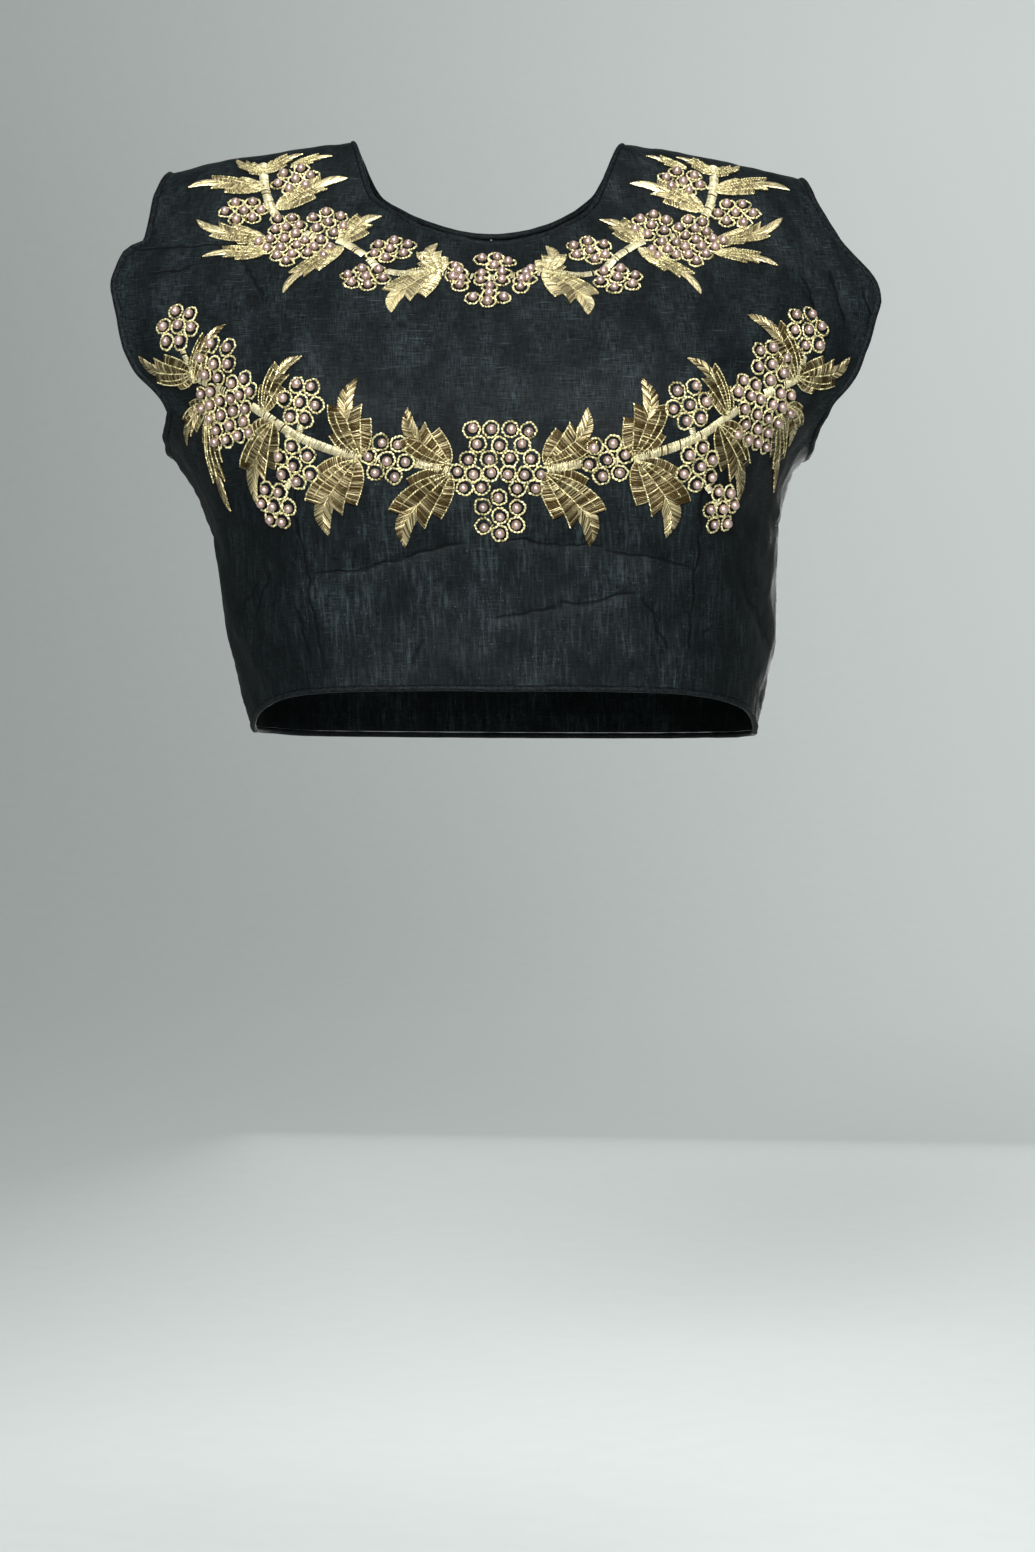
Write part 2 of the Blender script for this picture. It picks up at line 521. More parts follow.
def garment_place(points):
    """x and drop, in the form's own millimetres, of points in metres."""
    z = points[..., 2] / MM
    x = points[..., 0] / MM - LEAN * z
    return x, NECK_POINT_Z / MM - z - TILT * x


def armhole_turn(t, depth):
    """The angle at which a ring meets the armhole: a right angle away from it."""
    middle, half = (ARMPIT + SHOULDER_TIP) / 2, (SHOULDER_TIP - ARMPIT) / 2
    return math.pi / 2 - depth * np.sqrt(np.clip(1 - ((t - middle) / half) ** 2, 0, 1))


def row_places():
    """The places t of the rows, closer together towards the armhole's two ends."""
    low = np.linspace(HEM, ARMPIT, ROWS_SIDE, endpoint=False)
    turn = np.linspace(0, math.pi, ROWS_ARMHOLE, endpoint=False)
    across = (ARMPIT + SHOULDER_TIP) / 2 - (SHOULDER_TIP - ARMPIT) / 2 * np.cos(turn)
    high = np.linspace(SHOULDER_TIP, NECK, ROWS_SHOULDER + 1)
    return np.concatenate((low, across, high))


def arc(t, start, end):
    """Angles along a ring from start to end, with the length up to each."""
    angles = np.linspace(start, end, ARC_SAMPLES)
    points = form(angles, np.full(ARC_SAMPLES, t), False)
    steps = np.linalg.norm(np.diff(points, axis=0), axis=1)
    return angles, np.concatenate(((0,), np.cumsum(steps)))


def arc_angles(t, start, end, columns, trim_start=0.0, trim_end=0.0):
    """Angles at even steps along a ring from start to end, with each end trimmed."""
    angles, length = arc(t, start, end)
    wanted = np.linspace(trim_start, length[-1] - trim_end, columns)
    return np.interp(wanted, length, angles)


def front_angles():
    rows = []
    for t in row_places():
        end = float(armhole_turn(t, ARMHOLE_FRONT))
        half = arc_angles(t, 0, end, COLUMNS_HALF_FRONT, 0, SIDE_GAP / 2)
        rows.append(np.concatenate((-half[:0:-1], half)))
    return np.array(rows)


def back_angles(side):
    """Angles of one back half, from the centre back to its side edge."""
    rows = []
    for t in row_places():
        end = math.pi - float(armhole_turn(t, ARMHOLE_BACK))
        rows.append(side * arc_angles(t, math.pi, end, COLUMNS_BACK, BACK_GAP / 2, SIDE_GAP / 2))
    return np.array(rows)


def placket_angles():
    rows = []
    for t in row_places():
        spread, length = arc(t, math.pi, math.pi * PLACKET_ARC)
        turn = np.interp(PLACKET_HALF, length, math.pi - spread)
        rows.append(math.pi + np.linspace(-turn, turn, COLUMNS_PLACKET))
    return np.array(rows)


def crumple(points):
    """Small waves of worn silk at points in metres, in millimetres out."""
    draws = np.random.default_rng(CRUMPLE_SEED)
    out = np.zeros(points.shape[:-1])
    for length in np.geomspace(CRUMPLE_SHORT, CRUMPLE_LONG, CRUMPLE_WAVES):
        way = draws.normal(size=3)
        way /= np.linalg.norm(way)
        phase = draws.uniform(0, 2 * math.pi)
        out += CRUMPLE_DEPTH * length * np.sin(points @ way / MM * 2 * math.pi / length + phase)
    return out


def along_grid(points):
    """How far each point of a grid lies along its row and up its column, in metres."""
    around = np.linalg.norm(np.diff(points, axis=1), axis=-1)
    around = np.concatenate((np.zeros((len(points), 1)), np.cumsum(around, axis=1)), axis=1)
    up = np.linalg.norm(np.diff(points, axis=0), axis=-1)
    up = np.concatenate((np.zeros((1, points.shape[1])), np.cumsum(up, axis=0)), axis=0)
    return around, up


def grain_map(points, middle):
    """The cloth's straight grain as a UV map in metres: towards +X from a middle column, and up."""
    steps = np.linalg.norm(np.diff(points[..., :2], axis=1), axis=-1)
    steps *= np.sign(points[0, -1, 0] - points[0, 0, 0])
    across = np.concatenate((np.zeros((len(points), 1)), np.cumsum(steps, axis=1)), axis=1)
    across -= across[:, middle : middle + 1]
    return across, points[..., 2] * GRAIN_STEEPNESS


def from_sides(around):
    """How far each point of a grid lies from the nearer end of its row."""
    return np.minimum(around, around[:, -1:] - around)


def seam_puckers(distance, along):
    """The pull of a seam's stitches on the cloth beside it, in millimetres."""
    wave = np.sin(along / MM * 2 * math.pi / PUCKER_LENGTH)
    return PUCKER_DEPTH * wave * np.exp(-distance / MM / PUCKER_REACH)


def front_relief(points, around, up):
    """Fine relief of the front: creases, dart seams, hem stitching and puckers, in millimetres."""
    x, drop = garment_place(points)
    dart = np.abs(np.abs(x) - dart_x(drop))
    strength = dart_strength(drop)
    groove = -DART_GROOVE * strength * np.exp(-((dart / DART_GROOVE_WIDTH) ** 2))
    puckers = seam_puckers(from_sides(around), up) + strength * seam_puckers(dart * MM, up)
    return folds_out(CREASES, x, drop) + groove + puckers


def back_relief(points, around, up):
    """Fine relief of a back half, in millimetres."""
    return folds_out(BACK_CREASES, *garment_place(points)) + seam_puckers(from_sides(around), up)


def hem_relief(around, up):
    """The hem facing's stitch line, with its puckers, in millimetres."""
    away = up / MM - FACING_HEIGHT
    line = -FACING_GROOVE * np.exp(-((away / FACING_WIDTH) ** 2))
    fade = smooth_step(from_sides(around) / MM, 0, PUCKER_LENGTH)
    return line + seam_puckers(np.abs(away) * MM, around) * fade


def grid_faces(rows, columns, start=0):
    corners = [start + r * columns + c for r in range(rows - 1) for c in range(columns - 1)]
    return [(low, low + 1, low + columns + 1, low + columns) for low in corners]


def placed(name, data, material=None):
    """A shown object of a mesh, a lamp or a camera."""
    made = bpy.data.objects.new(name, data)
    bpy.context.scene.collection.objects.link(made)
    if material is not None:
        data.materials.append(material)
    return made


def closed_wall(name, outer, inner, grain, material):
    """A wall between two grids of points, closed round its four edges, with a UV map in metres."""
    rows, columns = outer.shape[:2]
    count = rows * columns
    faces = grid_faces(rows, columns)
    faces += [tuple(reversed(face)) for face in grid_faces(rows, columns, count)]
    edge = [(0, c) for c in range(columns)] + [(r, columns - 1) for r in range(1, rows)]
    edge += [(rows - 1, c) for c in range(columns - 2, -1, -1)]
    edge += [(r, 0) for r in range(rows - 2, 0, -1)]
    corners = [r * columns + c for r, c in edge]
    faces += [(b, a, a + count, b + count) for a, b in zip(corners, corners[1:] + corners[:1])]
    mesh = bpy.data.meshes.new(name)
    mesh.from_pydata(np.concatenate((outer.reshape(-1, 3), inner.reshape(-1, 3))), [], faces)
    facing = np.cross(outer[0, 1] - outer[0, 0], outer[1, 0] - outer[0, 0])
    if facing @ (outer[0, 0] - inner[0, 0]) < 0:
        mesh.flip_normals()
    corner_vertex = np.empty(len(mesh.loops), int)
    mesh.loops.foreach_get("vertex_index", corner_vertex)
    places = np.stack([direction.ravel() for direction in grain], 1)[corner_vertex % count]
    mesh.uv_layers.new(name="cloth").data.foreach_set("uv", places.ravel())
    mesh.shade_smooth()
    mesh.set_sharp_from_angle(angle=SHARP_EDGE)
    return placed(name, mesh, material)


def cloth_grid(angles, relief, middle):
    """The outer and inner points of a panel, its grain and how far each point lies above the hem."""
    points, normals = bare_form(angles, row_places()[:, None])
    around, up = along_grid(points)
    raised = crumple(points) + relief(points, around, up) + hem_relief(around, up)
    outer = points + normals * raised[..., None] * MM
    return outer, outer - normals * CLOTH, grain_map(points, middle), up


def edge_curve(angles, places, radius, flip):
    """Where a piping lies beside a cloth edge: out past the edge in the cloth's own plane."""
    points, normals = bare_form(angles, places)
    points = points + normals * crumple(points)[:, None] * MM
    along = np.roll(points, -1, axis=0) - np.roll(points, 1, axis=0)
    away = np.cross(along, normals) * flip
    away /= np.linalg.norm(away, axis=1, keepdims=True)
    return points + away * (radius + PIPING_GAP) - normals * CLOTH / 2, normals


class Cloth:
    """The front's outer side, for laying the embroidery on it."""

    def __init__(self, outer):
        rows, columns = outer.shape[:2]
        points = [Vector(p) for p in outer.reshape(-1, 3)]
        self.tree = BVHTree.FromPolygons(points, grid_faces(rows, columns))

    def at(self, x, z):
        """The cloth's point and normal behind a place seen from the front."""
        hit, normal, _, _ = self.tree.ray_cast(Vector((x, VIEW_Y, z)), Vector((0, 1, 0)))
        if hit is None:
            hit, normal, _, _ = self.tree.find_nearest(Vector((x, SIDE_Y, z)))
        return hit, outward(normal)


def outward(normal):
    return -normal if normal.y > 0 else normal


def front_view(x, drop):
    """The place seen from the front, in metres, of a place in the form's own millimetres."""
    z = NECK_POINT_Z / MM - drop
    return (x + LEAN * z) * MM, (z - TILT * x) * MM


class Spot:
    """A place on the cloth with flat directions of its own, for laying a leaf or a bunch on it."""

    def __init__(self, cloth, sprig, side):
        self.cloth, self.width = cloth, sprig.width
        self.anchor, self.normal = cloth.at(*front_view(sprig.x * side, sprig.drop))
        mirrored_turn = 180 - sprig.turn if sprig.kind == "leaf" else -sprig.turn
        turn = math.radians(sprig.turn if side > 0 else mirrored_turn)
        heading = Vector((math.cos(turn), 0, math.sin(turn)))
        heading.y = -(heading.x * self.normal.x + heading.z * self.normal.z) / self.normal.y
        self.heading = heading.normalized()
        self.across = self.heading.cross(self.normal)
        # A leaf bows away from the centre front, whether it points up or down
        if self.across.x * self.anchor.x < 0 or sprig.kind != "leaf":
            self.across.negate()

    def lay(self, along, aside, lift):
        """The point over a place of the sprig, in millimetres, lifted off the cloth, and the normal."""
        flat = self.anchor + (self.heading * along + self.across * aside * self.width) * MM
        hit, normal, _, _ = self.cloth.tree.ray_cast(flat + self.normal * PROBE, -self.normal, 3 * PROBE)
        if hit is None:
            hit, normal = flat, self.normal
        normal = normal if normal.dot(self.normal) > 0 else -normal
        return hit + normal * lift * MM, normal


class Lines:
    """Lines on the cloth for a node tree to grow pieces along, with the tone of each thread."""

    def __init__(self):
        self.points, self.normals, self.tones, self.thickness, self.edges = [], [], [], [], []

    def add(self, laid, tone, closed=False, thickness=1.0):
        first = len(self.points)
        self.points += [point for point, _ in laid]
        self.normals += [normal for _, normal in laid]
        self.tones += [tone] * len(laid)
        widths = [thickness] * len(laid) if np.isscalar(thickness) else thickness
        self.thickness += [float(width) for width in widths]
        self.edges += [(first + i, first + i + 1) for i in range(len(laid) - 1)]
        if closed:
            self.edges.append((first + len(laid) - 1, first))

    def mesh(self, name):
        mesh = bpy.data.meshes.new(name)
        mesh.from_pydata([tuple(p) for p in self.points], self.edges, [])
        normal = mesh.attributes.new("cloth_normal", "FLOAT_VECTOR", "POINT")
        normal.data.foreach_set("vector", np.array(self.normals, float).ravel())
        mesh.attributes.new("tone", "FLOAT", "POINT").data.foreach_set("value", self.tones)
        mesh.attributes.new("thickness", "FLOAT", "POINT").data.foreach_set("value", self.thickness)
        return mesh


class Value:
    """A socket of a node tree that takes part in sums."""

    def __init__(self, tree, socket):
        self.tree, self.socket = tree, socket

    def maths(self, operation, *others):
        node = self.tree.node("ShaderNodeMath", {"operation": operation}, dict(enumerate((self, *others))))
        return Value(self.tree, node.outputs[0])

    def __add__(self, other):
        return self.maths("ADD", other)

    def __mul__(self, other):
        return self.maths("MULTIPLY", other)

    def __sub__(self, other):
        return self.maths("SUBTRACT", other)

    def __rsub__(self, other):
        return self.maths("MULTIPLY", -1.0).maths("ADD", other)

    def over(self, low, high):
        """0 below low, 1 above high and smooth between the two."""
        values = {"Value": self, "From Min": low, "From Max": high}
        node = self.tree.node("ShaderNodeMapRange", {"interpolation_type": "SMOOTHSTEP"}, values)
        return Value(self.tree, node.outputs["Result"])

    __radd__ = __add__
    __rmul__ = __mul__


class Tree:
    """Makes the nodes of one node tree and links them."""

    def __init__(self, group):
        self.group = group

    def node(self, kind, settings=None, values=None):
        made = self.group.nodes.new(kind)
        for name, setting in (settings or {}).items():
            setattr(made, name, setting)
        for key, value in (values or {}).items():
            self.feed(made.inputs[key], value)
        return made

    def first(self, kind, values=None, settings=None):
        """The first output of a new node."""
        return self.node(kind, settings, values).outputs[0]

    def feed(self, socket, value):
        if isinstance(value, Value):
            self.group.links.new(value.socket, socket)
        elif isinstance(value, bpy.types.NodeSocket):
            self.group.links.new(value, socket)
        elif socket.type == "RGBA" and len(value) == 3:
            socket.default_value = (*value, 1)
        else:
            socket.default_value = value

    def number(self, kind, output, settings=None, values=None):
        return Value(self, self.node(kind, settings, values).outputs[output])

    def place(self):
        """The place on the object, in metres."""
        return self.node("ShaderNodeTexCoord").outputs["Object"]

    def tone(self):
        """The tone that each piece of the embroidery carries."""
        return self.number("ShaderNodeAttribute", "Fac", {"attribute_name": "tone"})

    def noise(self, place, scale, detail=2.0, roughness=0.5):
        values = {"Vector": place, "Scale": scale, "Detail": detail, "Roughness": roughness}
        return self.number("ShaderNodeTexNoise", "Fac", None, values)

    def stretched(self, place, scale):
        """The place with each direction scaled on its own."""
        return self.vector("MULTIPLY", {0: place, 1: scale})

    def pattern(self, place, cells, detail, roughness=0.5):
        """A noise with cells of its own number in each direction."""
        return self.noise(self.stretched(place, cells), 1.0, detail, roughness)

    def mixed(self, share, low, high):
        """A colour between two colours."""
        node = self.node("ShaderNodeMix", {"data_type": "RGBA"}, {0: share, 6: low, 7: high})
        return node.outputs[2]

    def vector(self, operation, values, output=0):
        return self.node("ShaderNodeVectorMath", {"operation": operation}, values).outputs[output]

    def near_lines(self, place, lines, width):
        """1 on any line in the view from the front, fading to 0 at a width away and at its ends."""
        nearest = Value(self, self.node("ShaderNodeValue").outputs[0])
        for x, z, end_x, end_z in lines:
            run = np.array((end_x - x, 0, end_z - z))
            from_start = self.vector("SUBTRACT", {0: place, 1: (x, 0, z)})
            share = self.vector("DOT_PRODUCT", {0: from_start, 1: tuple(run / (run @ run))}, 1)
            values = {0: share, 1: 1.0}
            share = self.number("ShaderNodeMath", 0, {"operation": "MULTIPLY", "use_clamp": True}, values)
            along = self.vector("SCALE", {0: tuple(run), "Scale": share})
            away = Value(self, self.vector("DISTANCE", {0: from_start, 1: along}, 1))
            taper = (share * (1.0 - share) * LINE_TAPER).over(0.0, 1.0)
            nearest = nearest.maths("MAXIMUM", taper * (1.0 - away.over(0.0, width)))
        return nearest

    def bump(self, height, distance, strength=1.0):
        values = {"Height": height, "Distance": distance, "Strength": strength}
        return self.node("ShaderNodeBump", None, values).outputs["Normal"]


def finish(name, constants):
    """A new material, its tree and its shader, with the shader's constant sockets set."""
    made = bpy.data.materials.new(name)
    made.use_nodes = True
    tree = Tree(made.node_tree)
    shader = made.node_tree.nodes["Principled BSDF"]
    for label, value in constants.items():
        tree.feed(shader.inputs[label], value)
    return made, tree, shader


def show(tree, shader, colour, roughness, normal=None):
    """Feeds a shader's colour, roughness and bump."""
    tree.feed(shader.inputs["Base Color"], colour)
    tree.feed(shader.inputs["Roughness"], roughness)
    if normal is not None:
        tree.feed(shader.inputs["Normal"], normal)


def seen_lines(creases, seams):
    """The deeper creases, and seams, as lines in the view from the front."""
    places = [tuple(crease[:4]) for crease in creases if crease.depth > LINE_CREASE] + seams
    return [(*front_view(*place[:2]), *front_view(*place[2:])) for place in places]


def raw_silk(name, lines):
    """Black raw silk with a teal cast: plain weave, slubs along the weft and thin dark creases."""
    made, tree, shader = finish(name, {"Specular IOR Level": DULL_SPECULAR})
    place = tree.node("ShaderNodeUVMap", {"uv_map": "cloth"}).outputs["UV"]
    thread = tree.pattern(place, WARP_CELLS, 3) * 0.5 + tree.pattern(place, WEFT_CELLS, 3) * 0.5
    slubs = tree.pattern(place, SLUB_CELLS, 2).over(*SLUB_RANGE)
    streaks = tree.pattern(place, STREAK_CELLS, 2).over(*STREAK_RANGE)
    flecks = tree.pattern(place, FLECK_CELLS, 1).over(*FLECK_RANGE)
    patches = tree.pattern(place, PATCH_CELLS, 4, PATCH_ROUGHNESS).over(*PATCH_RANGE)
    grain = tree.node("ShaderNodeSeparateXYZ", None, {0: place})
    across, up = Value(tree, grain.outputs[0]).maths("ABSOLUTE"), Value(tree, grain.outputs[1])
    chest = up.over(*CHEST_UP)
    weft_light = slubs * (chest * CHEST_SLUBS + SLUB_LIGHT)
    warp_light = streaks * (STREAK_LIGHT - chest * CHEST_STREAKS)
    fleck_light = flecks * (FLECK_LIGHT - chest * CHEST_FLECKS)
    light = thread.over(*THREAD_RANGE) * (chest * CHEST_THREADS + THREAD_LIGHT)
    light = light + weft_light + warp_light + fleck_light
    unworn = across.over(*UNWORN_ACROSS) * (1.0 - up.over(*UNWORN_UP))
    worn = light * (patches * PATCH_SPREAD + PATCH_BASE) * (1.0 - unworn * UNWORN_SHADE)
    seen = tree.place()
    values = {"Vector": seen, "Scale": SWAY_CELLS, "Detail": 2.0}
    sway = tree.node("ShaderNodeTexNoise", None, values).outputs["Color"]
    sway = tree.vector("SUBTRACT", {0: sway, 1: NOISE_MIDDLE})
    seen = tree.vector("MULTIPLY_ADD", {0: sway, 1: (LINE_SWAY,) * 3, 2: seen})
    crease = tree.near_lines(tree.stretched(seen, (1, 0, 1)), lines, LINE_WIDTH)
    height = thread * THREAD_HEIGHT + slubs * SLUB_HEIGHT + streaks * STREAK_HEIGHT - crease * LINE_DEPTH
    shade = tree.mixed(worn * (1.0 - crease * LINE_SHADE), SILK_DARK, SILK_LIGHT)
    relief = tree.bump(height, SILK_BUMP, SILK_BUMP_SHARE)
    show(tree, shader, shade, SILK_ROUGH - light * SILK_POLISH, relief)
    return made


def piping_silk():
    """The bias binding: the same silk, darker, with the small folds of a strip turned over."""
    made, tree, shader = finish("silk_piping", {"Specular IOR Level": DULL_SPECULAR})
    place = tree.place()
    weave = tree.noise(place, BINDING_WEAVE_CELLS, 3)
    folds = tree.noise(place, BINDING_FOLD_CELLS, 2)
    shade = tree.mixed(weave.over(*BINDING_RANGE), BINDING_DARK, BINDING_LIGHT)
    height = weave * BINDING_WEAVE_HEIGHT + folds
    relief = tree.bump(height, BINDING_BUMP, BINDING_BUMP_SHARE)
    show(tree, shader, shade, BINDING_ROUGH - folds * BINDING_POLISH, relief)
    return made


def metal_thread(look):
    """Metallic thread, from a dark tone to a light one, with the glints of its wound foil."""
    made, tree, shader = finish(look.name, {"Metallic": look.metallic})
    tone = tree.tone()
    place = tree.place()
    foil = tree.noise(place, FOIL_CELLS, 2)
    wear = tree.noise(place, WEAR_CELLS, 2)
    share = tone * TONE_SHARE + foil.over(*FOIL_RANGE) * FOIL_SHARE + wear * WEAR_SHARE - TONE_DROP
    shade = tree.mixed(share.maths("MAXIMUM", 0.0), look.dark, look.light)
    roughness = look.roughness + foil * FOIL_ROUGH - FOIL_SMOOTH
    show(tree, shader, shade, roughness, tree.bump(foil, FOIL_BUMP, FOIL_BUMP_SHARE))
    return made


def pearl_finish():
    """Copper-pink glass pearls with a lustrous coat."""
    made, tree, shader = finish("copper_pearl", PEARL_LUSTRE)
    tone = tree.tone()
    place = tree.place()
    cloud = tree.noise(place, PEARL_CELLS, 2)
    shade = tree.mixed(tone * PEARL_BY_TONE + cloud * PEARL_BY_CLOUD, PEARL_DARK, PEARL_LIGHT)
    show(tree, shader, shade, PEARL_ROUGH + cloud * PEARL_CLOUD)
    return made


def plain_finish(name, colour, roughness):
    """A matt finish with a faint grain, for the ground of the embroidery and the hem's stitches."""
    made, tree, shader = finish(name, {"Specular IOR Level": DULL_SPECULAR})
    place = tree.place()
    speck = tree.noise(place, SPECK_CELLS, 2)
    dark = tuple(channel * SPECK_SHADE for channel in colour)
    show(tree, shader, tree.mixed(speck, dark, colour), roughness + speck * SPECK_ROUGH)
    return made


# The place of a resampling node's Length among its inputs, and the radius of a link of unit width
RESAMPLE_LENGTH, HALF_LINK = 3, 0.5


def new_growth(name, sizes):
    """A geometry tree with a Lines input, named sizes and a finish, and its input sockets by name."""
    group = bpy.data.node_groups.new(name, "GeometryNodeTree")
    group.interface.new_socket("Lines", in_out="INPUT", socket_type="NodeSocketGeometry")
    for label, kind in sizes.items():
        group.interface.new_socket(label, in_out="INPUT", socket_type=kind)
    group.interface.new_socket("Finish", in_out="INPUT", socket_type="NodeSocketMaterial")
    group.interface.new_socket("Pieces", in_out="OUTPUT", socket_type="NodeSocketGeometry")
    tree = Tree(group)
    return tree, tree.node("NodeGroupInput").outputs


def end_growth(tree, given, pieces):
    """Ends a geometry tree: real pieces, shaded smooth, in the finish."""
    real = tree.first("GeometryNodeRealizeInstances", {0: pieces})
    smooth = tree.first("GeometryNodeSetShadeSmooth", {0: real})
    finished = tree.first("GeometryNodeSetMaterial", {0: smooth, "Material": given["Finish"]})
    tree.node("NodeGroupOutput", None, {0: finished})
    return tree.group


def named_attribute(tree, name, kind):
    return tree.first("GeometryNodeInputNamedAttribute", {"Name": name}, {"data_type": kind})


def random_float(tree, low, high):
    """A random number for each point."""
    draw = {"Min": low, "Max": high, "Seed": THREAD_SEED}
    node = tree.node("FunctionNodeRandomValue", {"data_type": "FLOAT"})
    for socket in node.inputs:
        if socket.enabled and socket.name in draw:
            tree.feed(socket, draw[socket.name])
    return Value(tree, next(socket for socket in node.outputs if socket.enabled))


def thread_growth():
    """A round thread along every line."""
    sizes = {"Radius": "NodeSocketFloat", "Sides": "NodeSocketInt"}
    tree, given = new_growth("threads_along_lines", sizes)
    curve = tree.first("GeometryNodeMeshToCurve", {0: given["Lines"]})
    thickness = named_attribute(tree, "thickness", "FLOAT")
    values = {"Resolution": given["Sides"], "Radius": given["Radius"]}
    profile = tree.first("GeometryNodeCurvePrimitiveCircle", values)
    values = {"Curve": curve, "Profile Curve": profile, "Scale": thickness, "Fill Caps": True}
    return end_growth(tree, given, tree.first("GeometryNodeCurveToMesh", values))


def link_growth():
    """Short plump stitches in a row along every line, lying on the cloth."""
    sizes = dict.fromkeys(("Spacing", "Length", "Width", "Height", "Swing"), "NodeSocketFloat")
    tree, given = new_growth("links_along_lines", sizes)
    curve = tree.first("GeometryNodeMeshToCurve", {0: given["Lines"]})
    values = {0: curve, RESAMPLE_LENGTH: given["Spacing"]}
    spaced = tree.first("GeometryNodeResampleCurve", values, {"mode": "LENGTH"})
    values = {"Segments": LINK_SEGMENTS, "Rings": LINK_RINGS, "Radius": HALF_LINK}
    ball = tree.first("GeometryNodeMeshUVSphere", values)
    values = {0: given["Length"], 1: given["Width"], 2: given["Height"]}
    size = tree.first("ShaderNodeCombineXYZ", values)
    link = tree.first("GeometryNodeTransform", {"Geometry": ball, "Scale": size})
    normal = named_attribute(tree, "cloth_normal", "FLOAT_VECTOR")
    upright = tree.first("FunctionNodeAlignRotationToVector", {"Vector": normal}, {"axis": "Z"})
    values = {"Rotation": upright, "Vector": tree.first("GeometryNodeInputTangent")}
    settings = {"axis": "X", "pivot_axis": "Z"}
    lying = tree.first("FunctionNodeAlignRotationToVector", values, settings)
    swing = Value(tree, given["Swing"])
    turn = tree.first("ShaderNodeCombineXYZ", {2: random_float(tree, swing * -1.0, swing)})
    settings = {"rotation_space": "LOCAL"}
    turned = tree.first("FunctionNodeRotateRotation", {0: lying, 1: turn}, settings)
    tone = Value(tree, named_attribute(tree, "tone", "FLOAT"))
    tone = tone + random_float(tree, -LINK_TONE_SPREAD, LINK_TONE_SPREAD)
    values = {"Geometry": spaced, "Name": "tone", "Value": tone}
    settings = {"data_type": "FLOAT", "domain": "POINT"}
    toned = tree.first("GeometryNodeStoreNamedAttribute", values, settings)
    values = {"Points": toned, "Instance": link, "Rotation": turned}
    return end_growth(tree, given, tree.first("GeometryNodeInstanceOnPoints", values))


def pearl_growth():
    """A pearl on every point, each a little larger or smaller."""
    sizes = {"Radius": "NodeSocketFloat", "Segments": "NodeSocketInt"}
    tree, given = new_growth("pearls_on_points", sizes)
    values = {"Segments": given["Segments"], "Rings": PEARL_RINGS, "Radius": given["Radius"]}
    ball = tree.first("GeometryNodeMeshUVSphere", values)
    size = named_attribute(tree, "thickness", "FLOAT")
    values = {"Points": given["Lines"], "Instance": ball, "Scale": size}
    return end_growth(tree, given, tree.first("GeometryNodeInstanceOnPoints", values))


def settled(piece, material):
    """The piece as a plain mesh of what its modifier makes, in one material."""
    graph = bpy.context.evaluated_depsgraph_get()
    piece.data = bpy.data.meshes.new_from_object(piece.evaluated_get(graph))
    piece.modifiers.clear()
    piece.data.materials.clear()
    piece.data.materials.append(material)
    return piece


def grown(name, lines, group, sizes, material):
    """A plain mesh of what a geometry tree grows along lines."""
    piece = placed(name, lines.mesh(name))
    growth = piece.modifiers.new("growth", "NODES")
    growth.node_group = group
    given = {**sizes, "Finish": material}
    for socket in group.interface.items_tree:
        if socket.in_out == "INPUT" and socket.name in given:
            growth[socket.identifier] = given[socket.name]
    return settled(piece, material)


def rib_point(rib, share):
    """A place on a leaf's rib, in shares of the leaf's length."""
    bend, end = 2 * share * (1 - share), share * share
    along = bend * rib.bend_along + end * rib.end_along
    return np.array((along, bend * rib.bend_aside + end * rib.end_aside))


def bowed(place, length):
    """A place on a leaf in millimetres, with the leaf bowed sideways."""
    along, aside = place
    return along * length, (aside + LEAF_BOW * along * (1 - along**4)) * length


def thread_across(spot, start, end, arch, lift):
    """A satin thread from start to end, in millimetres, arched over its padding."""
    return [
        spot.lay(
            start[0] + (end[0] - start[0]) * share,
            start[1] + (end[1] - start[1]) * share,
            lift + arch * math.sin(math.pi * (ARCH_START + ARCH_RUN * share)),
        )
        for share in THREAD_SHARES
    ]


def thread_tone(draws, middle, spread):
    """A thread's tone: most are near the middle, and a few catch the light."""
    return middle + spread * draws.uniform(-1, 1) + GLINT * draws.uniform() ** GLINT_RARITY


